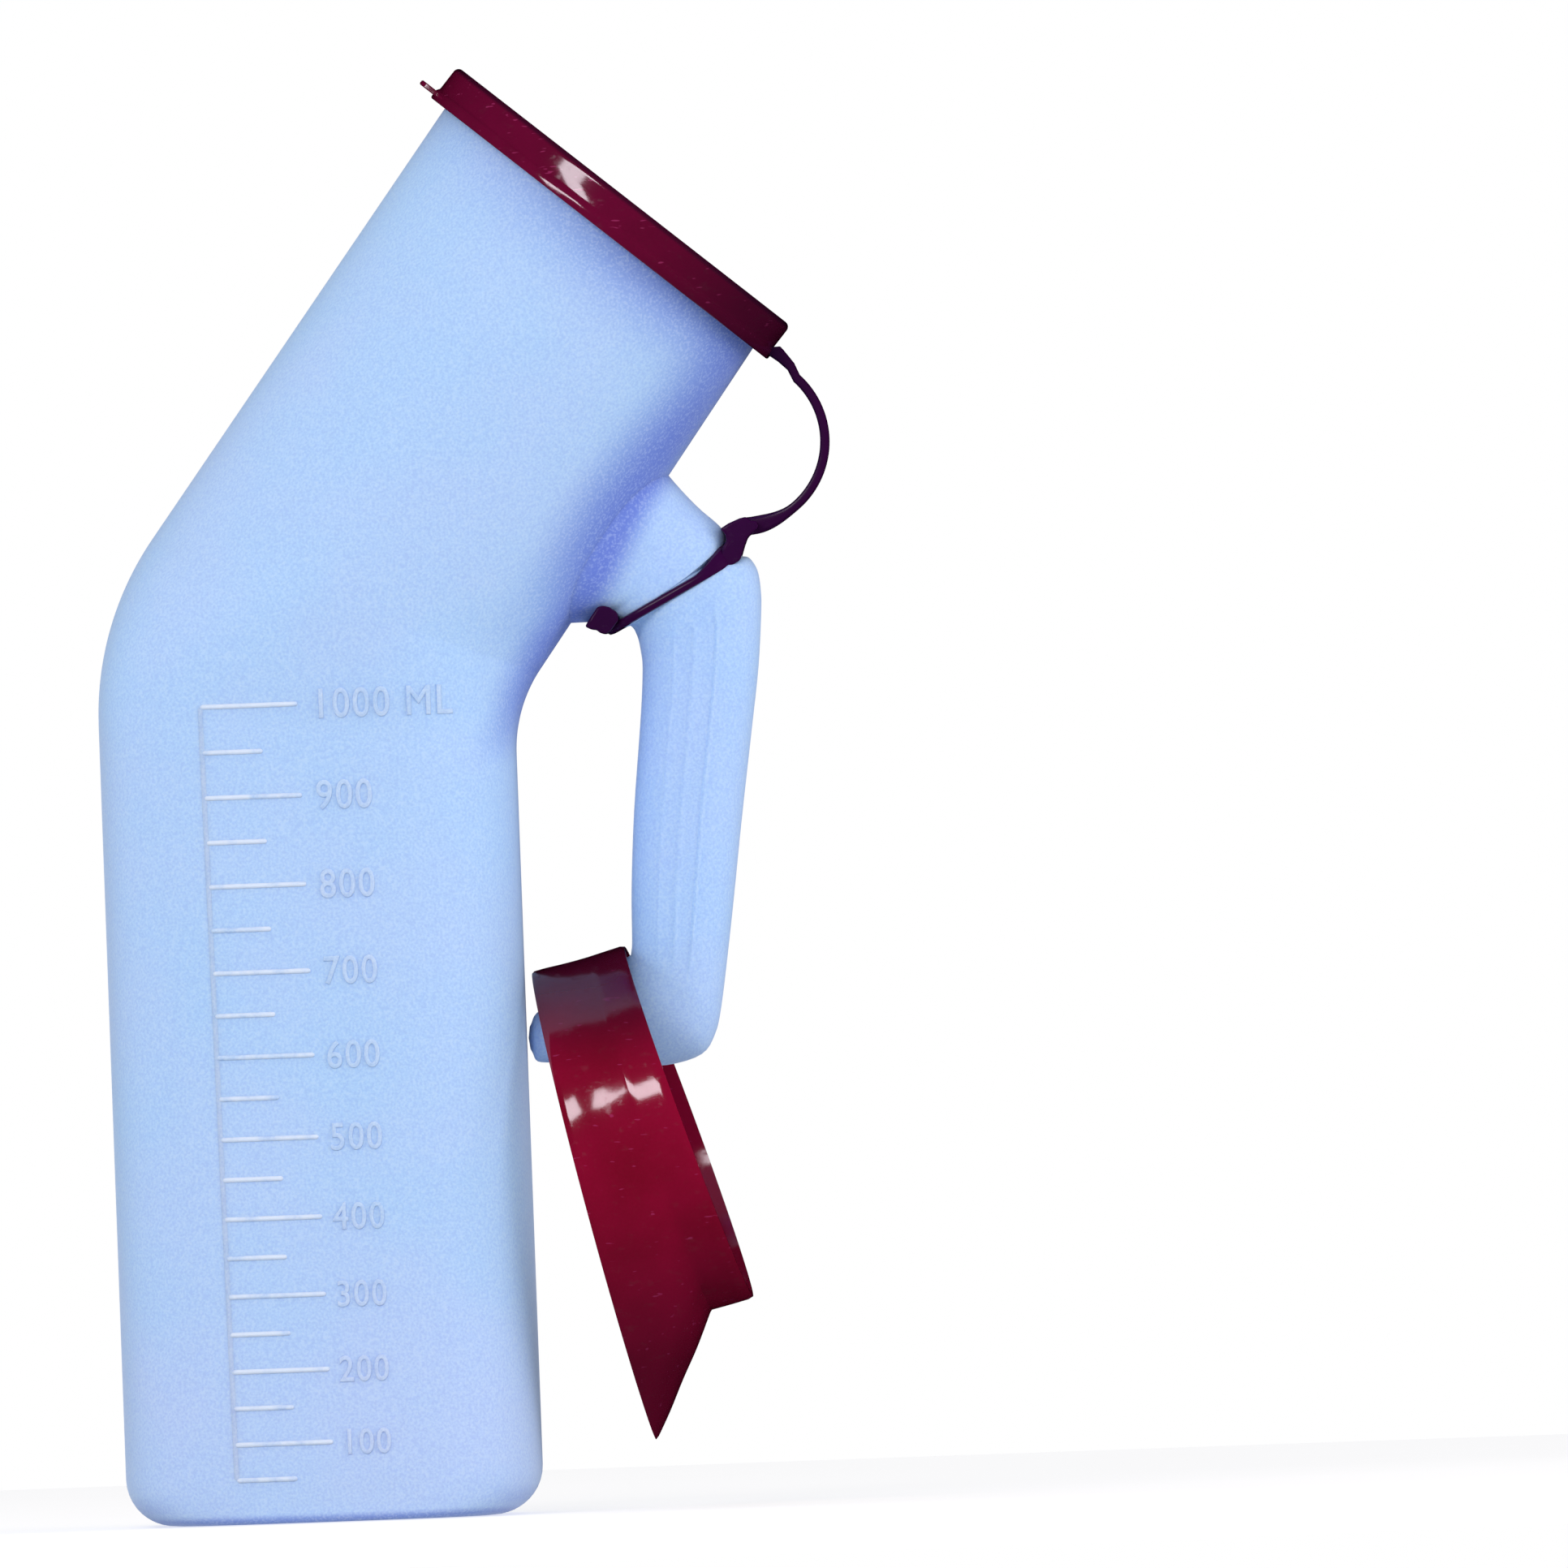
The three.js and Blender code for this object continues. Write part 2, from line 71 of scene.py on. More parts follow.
# Barrel and neck
WALL = 1.6
BARREL_LEFT = -43.3
BARREL_RIGHT = 43.8
HEEL_RADIUS = 10
HEEL_ROLL = 1.9
HEEL_HEIGHTS = (0, 0.12, 0.4, 0.8, 1.3, 1.9, 2.8, 3.9, 5.2, 6.8, 8.4)
INSIDE_HEEL = 3  # the inside starts at this one of the heel's sections
FOOT_RECESS = 1.3
FOOT_BAND = 7
RUN_DEPTHS = (45.2, 37.2, 39.4, 40.9)
RUN_SQUARENESS = (3.5, 3.5, 2.1, 2)
RUN_STEPS = (26, 26, 14)
EASING_ROUNDS = 12
OUTER_BEND = {"start": 168.2, "radius": 65, "lean": math.radians(36.4)}
INNER_BEND = {"start": 158.8, "radius": 30, "lean": math.radians(34.9)}

# Mouth and lid share one frame: u runs across the mouth and v out of it
LID_TILT = math.radians(40)
LID_CENTRE = (65.1, 268.2)
MOUTH_RADIUS = 40.9
MOUTH_BORE = 39.4
BEAD_RADIUS = 42
RIM_TOP = 6.2
LID_HEIGHT = 8.6
LID_WALL = 1.6
SKIRT_OUTER = 44.2
SKIRT_INNER = 43.1
FLANGE_RADIUS = 44.7
LIP_OUTER = 37.6
LIP_INNER = 36.2
TAB_REACH = 48.2
TAB_HALF_WIDTH = 8
TAB_CORNER = (1.5, 2.5)

# Fill scale
MARKS = 10
FIRST_MARK = 16.7
FIRST_STEP = 15.2
STEP_GROWTH = 0.483
MARK_WIDTH = 1.2
MARK_RELIEF = 0.5
SPINE_RELIEF = 0.15
SPINE_TOP = -21.3
SPINE_BOTTOM = -19.3
LONG_MARK = 20.5
SHORT_MARK = 12.7
NUMERAL_STARTS = (2.9, 2.1)  # at the lowest and the highest mark
NUMERAL_HEIGHTS = (5.2, 6.1)
NUMERAL_RELIEF = 0.34
NUMERAL_NARROWING = 0.86
CAPITAL_SHARE = 0.7  # a capital's height, as a share of the lettering's size

# Handle and collar
COLLAR_LEFT = (63.2, 183.3)
COLLAR_RIGHT = (91.7, 198.4)
COLLAR_THICKNESS = 2
WAIST_HALF_DEPTH = 10
WAIST_FILL = 12.1
COLLAR_BAND = 2.4
COLLAR_RISE = 3
COLLAR_SLACK = 0.6
COLLAR_WIDTH = 25
ROOT_WIDTH = 19
ROOT_FLARE = 9.5
ROOT_SPREAD = 1.2
ROOT_DEPTH = 0.9
SEAT_GAP = 0.02
GRIP_LINES = ((0.27, 0.16), (0.45, 0.26), (0.64, 0.38))  # place across the grip, height
GRIP_SQUARENESS_POWER = 1.3
GRIP_LINE_START = 14
GRIP_LINE_ROWS = 30

# Tether strap
STRAP_CENTRE = (93, 222.5)
STRAP_RADIUS = 17.8
STRAP_THICKNESS = 2
STRAP_WIDTH = 11
STRAP_START = math.radians(-90)
STRAP_SPLITS = [math.radians(angle) for angle in (-28.5, 14.5)]
STRAP_END = math.radians(46)
STRAP_STEP = math.radians(3)
STRAP_ROOT_ANGLE = math.radians(-52)
STRAP_ROOT_SPAN = math.radians(29)
STRAP_ROOT_THICKNESS = 3.8
STRAP_LID_END = (
    ((105, 238.5), (103.5, 237.1)),
    ((103.8, 240.1), (101.6, 238.9)),
    ((102.9, 241.3), (99.4, 240.5)),
    ((102.2, 242.1), (97.6, 241.9)),
)

# Adapter
ADAPTER_WALL = 1.4
SWING_PIVOT = (58, 102.9)

# Colours. A pair is a deep and a bright one, and the surface drifts between them
SKY = (0.44, 0.65, 0.93, 1)
LAVENDER = (0.52, 0.64, 0.93, 1)
# Painted shade blue, laid under the lid, along the handle's root and at the heel; it also darkens the
# frost speckle
SHADE_AND_SPECKLE_BLUE = (0.11, 0.17, 0.66, 1)
FROST = (0.76, 0.88, 1, 1)
# Painted highlight blue, which lightens the raised fill marks and numerals
PAINTED_HIGHLIGHT_BLUE = (0.8, 0.9, 1, 1)
SHADED_CRIMSON = (0.018, 0.0018, 0.012, 1)
FLECK = (0.5, 0.05, 0.18, 1)
FLOOR_TONES = ((0.53, 0.5, 0.46, 1), (0.57, 0.54, 0.5, 1))
ADAPTER_CRIMSON = ((0.18, 0.0025, 0.014, 1), (0.29, 0.0032, 0.03, 1))
# The lid's pair is a darker copy of the crimson: painted shade, for the lid is lit less than the
# adapter
LID_SHADED_CRIMSON = ((0.10, 0.0026, 0.02, 1), (0.16, 0.003, 0.032, 1))
STRAP_PLUM = ((0.022, 0.002, 0.026, 1), (0.042, 0.0024, 0.046, 1))


# ---- outlines ----

def flat(x, z):
    return Vector((x, z))


def mix(a, b, share):
    return a + (b - a) * share


def ease(share):
    share = min(max(share, 0), 1)
    return share * share * (3 - 2 * share)


def mouth_point(u, v):
    across = flat(math.cos(LID_TILT), -math.sin(LID_TILT))
    out = flat(math.sin(LID_TILT), math.cos(LID_TILT))
    return flat(*LID_CENTRE) + across * u + out * v


def collar_point(along, above):
    run = (flat(*COLLAR_RIGHT) - flat(*COLLAR_LEFT)).normalized()
    return flat(*COLLAR_LEFT) + run * along + flat(-run.y, run.x) * above


def section(start, end, depth, squareness=2, narrowing=0, bow=0):
    """A rounded outline across the XZ plane, from its start to its end point."""
    return (flat(*start), flat(*end), depth, squareness, narrowing, bow)


def shrunk(outline, wall):
    start, end, depth, *rest = outline
    inward = (end - start).normalized() * wall
    return (start + inward, end - inward, depth - wall, *rest)


def even_angles(sides):
    return [ROUND * i / sides for i in range(sides)]


def signed_power(value, power):
    return math.copysign(abs(value) ** power, value)


def ring(outline, angles):
    start, end, depth, squareness, narrowing, bow = outline
    middle = (start + end) / 2
    reach = start - middle
    aside = flat(-reach.y, reach.x).normalized() * bow
    power = 2 / squareness
    points = []
    for angle in angles:
        along = signed_power(math.cos(angle), power)
        slimmer = 1 + narrowing * (along - 1) / 2
        across = signed_power(math.sin(angle), power) * slimmer
        place = middle + reach * along + aside * (1 - along * along)
        points.append(Vector((place.x, across * depth, place.y)) * MM)
    return points


def smooth_row(keys, steps):
    """Fills a row of key sections with smoothly changing ones between them."""
    filled = []
    for number in range(len(keys) - 1):
        before, here, there, after = (
            keys[min(max(number + offset, 0), len(keys) - 1)] for offset in (-1, 0, 1, 2)
        )
        for step in range(steps):
            t = step / steps
            parts = []
            for a, b, c, d in zip(before, here, there, after):
                bend = (c - a) * t + (a * 2 - b * 5 + c * 4 - d) * t**2 + (b * 3 - a - c * 3 + d) * t**3
                parts.append(b + bend * 0.5)
            filled.append(tuple(parts))
    return filled + [keys[-1]]


# ---- modelling by extrusion ----

def begin(name, count):
    """A closed loop of vertices in edit mode, each one numbered so that it can be laid in place."""
    bpy.ops.object.select_all(action="DESELECT")
    bpy.ops.mesh.primitive_circle_add(vertices=count, radius=MM)
    piece = bpy.context.object
    piece.name = piece.data.name = name
    bpy.ops.object.mode_set(mode="EDIT")
    mesh = bmesh.from_edit_mesh(piece.data)
    order = mesh.verts.layers.int.new("order")
    mesh.verts.layers.int.new("row")
    for number, vertex in enumerate(mesh.verts):
        vertex[order] = number
    return piece


def lay(piece, points, row):
    """Lays the selected loop of vertices on the points."""
    mesh = bmesh.from_edit_mesh(piece.data)
    order = mesh.verts.layers.int["order"]
    rows = mesh.verts.layers.int["row"]
    for vertex in mesh.verts:
        if vertex.select:
            vertex.co = points[vertex[order]]
            vertex[rows] = row
    bmesh.update_edit_mesh(piece.data)


def select_row(piece, row):
    bpy.ops.mesh.select_all(action="DESELECT")
    mesh = bmesh.from_edit_mesh(piece.data)
    rows = mesh.verts.layers.int["row"]
    for vertex in mesh.verts:
        vertex.select = vertex[rows] == row
    mesh.select_flush_mode()
    bmesh.update_edit_mesh(piece.data)


def loft(name, rings, ends="poles"):
    """Extrudes a loop from ring to ring. Its ends draw together into poles, are filled, or meet."""
    piece = begin(name, len(rings[0]))
    bpy.ops.mesh.select_all(action="SELECT")
    lay(piece, rings[0], 0)
    for row, points in enumerate(rings[1:], 1):
        bpy.ops.mesh.extrude_region_move()
        lay(piece, points, row)
    if ends == "looped":
        bpy.ops.mesh.extrude_region_move()
        lay(piece, rings[0], len(rings))
    else:
        for row in (len(rings) - 1, 0):
            select_row(piece, row)
            if ends == "poles":
                bpy.ops.mesh.merge(type="CENTER")
            else:
                bpy.ops.mesh.edge_face_add()
    finish_mesh(piece)
    return piece


def finish_mesh(piece, crease=35):
    bpy.ops.mesh.select_all(action="SELECT")
    bpy.ops.mesh.remove_doubles(threshold=0.00001)
    bpy.ops.mesh.normals_make_consistent(inside=False)
    bpy.ops.object.mode_set(mode="OBJECT")
    for layer in ("order", "row"):
        piece.data.attributes.remove(piece.data.attributes[layer])
    bpy.ops.object.shade_smooth_by_angle(angle=math.radians(crease))


def slab(name, outline, width, edge):
    """An outline in the XZ plane, extruded by a width centred on Y = 0, with rounded edges."""
    piece = begin(name, len(outline))
    bpy.ops.mesh.select_all(action="SELECT")
    lay(piece, [Vector((place.x, -width / 2, place.y)) * MM for place in outline], 0)
    bpy.ops.mesh.edge_face_add()
    bpy.ops.mesh.extrude_region_move(TRANSFORM_OT_translate={"value": (0, width * MM, 0)})
    finish_mesh(piece)
    round_edges(piece, edge)
    return piece


def round_edges(piece, edge, limit=25):
    bevel = piece.modifiers.new("rounding", "BEVEL")
    bevel.width = edge * MM
    bevel.segments = 3
    bevel.limit_method = "ANGLE"
    bevel.angle_limit = math.radians(limit)
    bpy.context.view_layer.objects.active = piece
    bpy.ops.object.modifier_apply(modifier=bevel.name)


def join(name, pieces):
    bpy.ops.object.select_all(action="DESELECT")
    for piece in pieces:
        piece.select_set(True)
    bpy.context.view_layer.objects.active = pieces[0]
    bpy.ops.object.join()
    pieces[0].name = pieces[0].data.name = name
    return pieces[0]


def finish(piece, body, slot, material, nodes):
    piece.data.materials.clear()
    piece.data.materials.append(material)
    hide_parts(*nodes)
    if body:
        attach(piece, body)
    return piece


# ---- materials ----

# Places of the colour sockets on a Mix node
MIX_SHARE, MIX_FIRST, MIX_SECOND, MIX_RESULT = 0, 6, 7, 2


class Signal:
    """A number that varies over a surface, so that sums on it read as sums."""

    def __init__(self, finish, socket):
        self.finish = finish
        self.socket = socket

    def maths(self, operation, *values):
        node = self.finish.node("ShaderNodeMath", {"operation": operation}, dict(enumerate(values)))
        return Signal(self.finish, node.outputs[0])

    def __add__(self, other):
        return self.maths("ADD", self, other)

    def __sub__(self, other):
        return self.maths("SUBTRACT", self, other)

    def __mul__(self, other):
        return self.maths("MULTIPLY", self, other)

    def __rsub__(self, other):
        return self.maths("SUBTRACT", other, self)

    __radd__ = __add__
    __rmul__ = __mul__

    def squared(self):
        return self * self

    def size(self):
        return self.maths("ABSOLUTE", self)

    def above(self, low, high):
        """0 up to low, 1 from high, and an even slope between them."""
        node = self.finish.node(
            "ShaderNodeMapRange",
            {"interpolation_type": "SMOOTHSTEP"},
            {"Value": self, "From Min": low, "From Max": high},
        )
        return Signal(self.finish, node.outputs["Result"])


class Finish:
    """One material and the nodes that make it."""

    def __init__(self, name):
        self.material = bpy.data.materials.new(name)
        self.material.use_nodes = True
        self.tree = self.material.node_tree
        self.tree.nodes.clear()

    def node(self, kind, settings=None, values=None):
        made = self.tree.nodes.new(kind)
        for key, value in (settings or {}).items():
            setattr(made, key, value)
        for key, value in (values or {}).items():
            socket = made.inputs[key]
            if isinstance(value, Signal):
                self.tree.links.new(value.socket, socket)
            else:
                socket.default_value = value
        return made

    def place(self):
        """The three coordinates of a point on the piece, in millimetres."""
        coordinates = self.node("ShaderNodeTexCoord")
        split = self.node(
            "ShaderNodeSeparateXYZ", values={"Vector": Signal(self, coordinates.outputs["Object"])}
        )
        return [Signal(self, split.outputs[axis]) * (1 / MM) for axis in "XYZ"]

    def noise(self, size, detail=2, stretch=(1, 1, 1), roughness=0.5):
        """Soft random spots of about the given size in millimetres, from 0 to 1."""
        coordinates = self.node("ShaderNodeTexCoord")
        mapping = self.node(
            "ShaderNodeMapping",
            values={"Vector": Signal(self, coordinates.outputs["Object"]), "Scale": stretch},
        )
        spots = self.node(
            "ShaderNodeTexNoise",
            values={
                "Vector": Signal(self, mapping.outputs["Vector"]),
                "Scale": 1 / (size * MM),
                "Detail": detail,
                "Roughness": roughness,
            },
        )
        return Signal(self, spots.outputs["Fac"])

    def tint(self, share, first, second):
        """A colour between two others."""
        sockets = {MIX_SHARE: share, MIX_FIRST: first, MIX_SECOND: second}
        node = self.node("ShaderNodeMix", {"data_type": "RGBA"}, sockets)
        return Signal(self, node.outputs[MIX_RESULT])

    def bump(self, height, strength, distance, under=None):
        values = {"Height": height, "Strength": strength, "Distance": distance * MM}
        if under:
            values["Normal"] = under
        return Signal(self, self.node("ShaderNodeBump", values=values).outputs["Normal"])

    def surface(self, values):
        shader = self.node("ShaderNodeBsdfPrincipled", values=values)
        output = self.node("ShaderNodeOutputMaterial")
        self.tree.links.new(shader.outputs[0], output.inputs["Surface"])
        return self.material


def along_mouth(x, z):
    """How far a point lies across the mouth, and how far out of it."""
    right, up = x - LID_CENTRE[0], z - LID_CENTRE[1]
    across = right * math.cos(LID_TILT) - up * math.sin(LID_TILT)
    out = right * math.sin(LID_TILT) + up * math.cos(LID_TILT)
    return across, out


def milky_plastic(name, painted_highlight=0):
    """Frosted, slightly see-through blue polyethylene with a fine moulded grain.

    Painted shade deepens its blue under the lid, along the inner side of the bend and at the heel, and
    an optional painted highlight lightens it in patches for the raised marks and numerals.
    """
    made = Finish(name)
    x, y, z = made.place()
    cloud = made.noise(38, detail=2).above(0.32, 0.68)
    low = 1 - z.above(10, 85)
    colour = made.tint(cloud * 0.35 + low * 0.45, SKY, LAVENDER)
    across, out = along_mouth(x, z)
    # Painted shade under the lid's skirt, deeper on the handle side
    painted_lid_shade = out.above(-26, 3).squared() * (across.above(-45, 30) * 0.6 + 0.15)
    colour = made.tint(painted_lid_shade, colour, SHADE_AND_SPECKLE_BLUE)
    # Painted shade along the neck's inner side and the inner bend, where the handle's arm meets the
    # neck
    towards_grip = across - (1 - z.above(186, 216)) * 5 - (1 - z.above(160, 184)) * 6
    neck_share = z.above(176, 202)
    painted_crease_shade = towards_grip.above(26, 40) * neck_share + towards_grip.above(33, 41) * (1 - neck_share)
    painted_crease_shade = painted_crease_shade * (1 - towards_grip.above(41, 47)) * z.above(154, 172)
    colour = made.tint(painted_crease_shade * (0.8 - z.above(222, 262) * 0.46), colour, SHADE_AND_SPECKLE_BLUE)
    # Painted shade on the heel band and the base's corners
    heel = 1 - z.above(0.6, 2.2)
    painted_corner_shade = (x.size() - 30).above(0, 12) * (1 - z.above(3, 7))
    colour = made.tint(heel * 0.55 + painted_corner_shade * 0.3, colour, SHADE_AND_SPECKLE_BLUE)
    frost = made.noise(0.55, detail=2)
    colour = made.tint(frost.above(0.48, 0.66) * 0.2, colour, FROST)
    colour = made.tint((1 - frost.above(0.34, 0.5)) * 0.11, colour, SHADE_AND_SPECKLE_BLUE)
    # Painted highlight, in patches, for raised marks
    if painted_highlight:
        highlight_patches = made.noise(5, detail=3).above(0.2, 0.6)
        colour = made.tint(highlight_patches * painted_highlight, colour, PAINTED_HIGHLIGHT_BLUE)
    grain = made.noise(0.65, detail=3, roughness=0.6)
    normal = made.bump(grain, 0.5, 0.13)
    orange_peel = made.noise(3.4, detail=2)
    normal = made.bump(orange_peel, 0.25, 0.12, normal)
    parting = 1 - y.size().above(0.15, 0.5)
    normal = made.bump(parting, 0.5, 0.25, normal)
    return made.surface(
        {
            "Base Color": colour,
            "Roughness": made.noise(0.8).above(0.1, 0.9) * 0.16 + 0.4,
            "Normal": normal,
            "IOR": 1.5,
            "Specular IOR Level": 0.08,
            "Subsurface Weight": 0.25,
            "Subsurface Radius": (0.6, 0.8, 1.0),
            "Subsurface Scale": 0.004,
            "Sheen Weight": 0.4,
            "Sheen Roughness": 0.3,
            "Sheen Tint": (0.8, 0.88, 1, 1),
        }
    )


def crimson_plastic(name, deep, bright, shade=None, gloss=0.5, roughness=0.09):
    """Glossy crimson moulding with faint flow marks and handling scuffs, and painted shade where a
    shade is given.
    """
    made = Finish(name)
    cloud = made.noise(22, detail=3).above(0.3, 0.7)
    speckle = made.noise(0.6, detail=2)
    colour = made.tint(cloud * 0.55 + speckle * 0.35, deep, bright)
    scuffs = made.noise(2.6, detail=4, stretch=(1, 0.2, 1.6), roughness=0.6).above(0.56, 0.7)
    dullness = scuffs * 0.12 + roughness
    if shade:
        flecks = made.noise(1.7, detail=1, stretch=(0.45, 1, 2.2)).above(0.7, 0.75)
        colour = made.tint(flecks * 0.35, colour, FLECK)
        shaded = shade(*made.place())
        colour = made.tint(shaded, colour, SHADED_CRIMSON)
        dullness = dullness + shaded * 0.08
    normal = made.bump(made.noise(12, detail=1), 0.06, 0.1)
    normal = made.bump(speckle, 0.1, 0.02, normal)
    return made.surface(
        {
            "Base Color": colour,
            "Roughness": dullness,
            "Normal": normal,
            "IOR": 1.5,
            "Specular IOR Level": gloss,
        }
    )


def lid_shade(x, y, z):
    """The lid's colour deepens on its top edge, and along its skirt towards the strap."""
    across, out = along_mouth(x, z)
    top_edge = out.above(LID_HEIGHT - 1.4, LID_HEIGHT - 0.5)
    skirt = (across.squared() + y.squared()).above((SKIRT_OUTER - 1.8) ** 2, (SKIRT_OUTER - 0.9) ** 2)
    return skirt * (1 - (1 - top_edge * 0.75) * (1 - across.above(8, 46) * 0.7))


def adapter_shade(x, y, z):
    """The adapter's colour deepens at its crown and towards the tongue."""
    return z.above(90, 110) * 0.75 + (1 - z.above(20, 76)) * 0.62


def floor_paint():
    """Plain pale studio floor."""
    made = Finish("studio_floor")
    shade = made.noise(300, detail=2)
    return made.surface(
        {
            "Base Color": made.tint(shade, *FLOOR_TONES),
            "Roughness": 0.8,
            "Emission Color": (1, 1, 1, 1),
            "Emission Strength": 0.62,
        }
    )


# ---- bottle ----

def wall_run(x, bend, mouth_side):
    """One side of the bottle as three runs: straight wall, bend, straight neck."""
    start, radius, lean = bend["start"], bend["radius"], bend["lean"]
    centre = flat(x + radius, start)
    neck_end = mouth_point(mouth_side * MOUTH_RADIUS, 0)

    def straight(share):
        return mix(flat(x, HEEL_RADIUS), flat(x, start), share)

    def bent(share):
        return centre - flat(math.cos(lean * share), -math.sin(lean * share)) * radius

    def neck(share):
        return mix(bent(1), neck_end, share)

    return straight, bent, neck


def run_sections():
    left = wall_run(BARREL_LEFT, OUTER_BEND, -1)
    right = wall_run(BARREL_RIGHT, INNER_BEND, 1)
    rows = []
    for run, steps in enumerate(RUN_STEPS):
        for step in range(steps):
            share = step / steps
            depth = mix(RUN_DEPTHS[run], RUN_DEPTHS[run + 1], share)
            squareness = mix(RUN_SQUARENESS[run], RUN_SQUARENESS[run + 1], share)
            rows.append(section(left[run](share), right[run](share), depth, squareness))
    return ease_depths(rows)


def ease_depths(rows):
    """Softens the change of depth where the runs meet."""
    for _ in range(EASING_ROUNDS):
        depths = [row[2] for row in rows]
        for i in range(1, len(rows) - 1):
            eased = (depths[i - 1] + 2 * depths[i] + depths[i + 1]) / 4
            rows[i] = (*rows[i][:2], eased, *rows[i][3:])
    return rows


def heel_sections():
    rows = []
    for height in HEEL_HEIGHTS:
        drop = HEEL_RADIUS - height
        side = HEEL_RADIUS - math.sqrt(HEEL_RADIUS**2 - drop**2)
        low = max(HEEL_ROLL - height, 0)
        roll = HEEL_ROLL - math.sqrt(HEEL_ROLL**2 - low**2)
        ends = (BARREL_LEFT + side, height), (BARREL_RIGHT - side, height)
        rows.append(section(*ends, RUN_DEPTHS[0] - roll, RUN_SQUARENESS[0]))
    return rows


def foot_sections():
    """The underside, from its middle out to the band that the bottle stands on."""
    outer = heel_sections()[0]
    rows = []
    for inset, height in ((30, 1), (18, 1), (FOOT_BAND + 2, 1), (FOOT_BAND, 0.8), (FOOT_BAND - 1.5, 0)):
        start, end, *rest = shrunk(outer, inset)
        lift = flat(0, height * FOOT_RECESS)
        rows.append((start + lift, end + lift, *rest))
    return rows


def mouth_section(radius, height):
    return section(mouth_point(-radius, height), mouth_point(radius, height), radius)


def mouth_bead():
    return [
        mouth_section(MOUTH_RADIUS, 0),
        mouth_section(MOUTH_RADIUS, 2),
        mouth_section(MOUTH_RADIUS + 0.25, 2.5),
        mouth_section(BEAD_RADIUS - 0.2, 3.1),
        mouth_section(BEAD_RADIUS, 3.7),
        mouth_section(BEAD_RADIUS, 4.7),
        mouth_section(BEAD_RADIUS - 0.3, 5.5),
        mouth_section(BEAD_RADIUS - 0.9, RIM_TOP - 0.15),
        mouth_section(MOUTH_RADIUS - 0.3, RIM_TOP),
        mouth_section(MOUTH_BORE + 0.4, RIM_TOP),
        mouth_section(MOUTH_BORE, RIM_TOP - 0.4),
        mouth_section(MOUTH_BORE, 0),
    ]


def bottle_body():
    """One wall all the way: underside, outside, mouth bead, inside and floor."""
    heel, run = heel_sections(), run_sections()
    inside = []
    for start, end, *rest in (shrunk(row, WALL) for row in heel[INSIDE_HEEL:]):
        lift = flat(0, WALL)
        inside.append((start + lift, end + lift, *rest))
    inside += [shrunk(row, WALL) for row in run]
    floor = [shrunk(inside[0], inset) for inset in (36, 24, 12, 5)]
    rows = foot_sections() + heel + run + mouth_bead() + inside[::-1] + floor[::-1]
    angles = even_angles(BODY_SIDES)
    return loft("bottle_body", [ring(row, angles) for row in rows])


# ---- fill scale ----

def mark_height(hundreds):
    """Height of a fill mark. The steps grow because the barrel gets shallower upwards."""
    steps = hundreds - 1
    return FIRST_MARK + FIRST_STEP * steps + STEP_GROWTH * steps * (steps - 1) / 2


def drape(piece, body):
    """Lays a flat relief, drawn in XZ with its height towards -Y, on the front of the body."""
    backwards = Vector((0, 1, 0))
    for vertex in piece.data.vertices:
        x, height, z = vertex.co
        _, place, *_ = body.ray_cast(Vector((x, -1, z)), backwards)
        vertex.co.y = place.y + height
    piece.data.update()


# A bar's rounded end, as place, width and height, and its rounded back, as place and height
BAR_END = ((0, 0.15, 0), (0.12, 0.6, 0.55), (0.35, 0.9, 0.85))
BAR_BACK = ((-1, -0.5), (-0.8, 0.35), (-0.4, 0.85), (0, 1), (0.4, 0.85), (0.8, 0.35), (1, -0.5))


def bar(name, start, end, height=MARK_RELIEF):
    """A ridge with a rounded back and round ends between two points of the front."""
    start, end = flat(*start), flat(*end)
    run = (end - start).normalized()
    aside = flat(-run.y, run.x)
    half = MARK_WIDTH / 2
    length = (end - start).length
    steps = max(4, round(length / 3))
    rows = list(BAR_END)
    rows += [(mix(half, length - half, i / steps), 1, 1) for i in range(steps + 1)]
    rows += [(length - along, wide, high) for along, wide, high in reversed(BAR_END)]
    rings = []
    for along, wide, high in rows:
        points = []
        for across, relief in BAR_BACK:
            place = start + run * along + aside * across * half * wide
            lift = relief * high if relief > 0 else relief
            points.append(Vector((place.x, -lift * height, place.y)) * MM)
        rings.append(points)
    return loft(name, rings, ends="filled")


def numeral(name, words, height):
    """Raised lettering beside a fill mark. It is larger at the higher marks."""
    share = (height - mark_height(1)) / (mark_height(MARKS) - mark_height(1))
    start, tall = mix(*NUMERAL_STARTS, share), mix(*NUMERAL_HEIGHTS, share)
    bpy.ops.object.select_all(action="DESELECT")
    bpy.ops.object.text_add()
    piece = bpy.context.object
    piece.name = name
    lettering = piece.data
    lettering.body = words
    lettering.size = tall / CAPITAL_SHARE
    lettering.space_character = 1.12
    lettering.extrude = NUMERAL_RELIEF * 0.45
    lettering.bevel_depth = NUMERAL_RELIEF * 0.55
    lettering.bevel_resolution = 1
    lettering.offset = -0.05
    lettering.resolution_u = 5
    bpy.ops.object.convert(target="MESH")
    for vertex in piece.data.vertices:
        x, y, z = vertex.co
        vertex.co = Vector((start + x * NUMERAL_NARROWING, -z, height + y - tall / 2)) * MM
    bpy.ops.object.mode_set(mode="EDIT")
    bpy.ops.mesh.select_all(action="SELECT")
    bpy.ops.mesh.remove_doubles(threshold=0.00002)
    bpy.ops.mesh.normals_make_consistent(inside=False)
    bpy.ops.object.mode_set(mode="OBJECT")
    bpy.ops.object.shade_smooth_by_angle(angle=math.radians(50))
    return piece


def spine_at(height):
    """Where the scale's upright line runs at a height. It leans slightly."""
    low, high = mark_height(0.5), mark_height(MARKS)
    return mix(SPINE_BOTTOM, SPINE_TOP, (height - low) / (high - low))


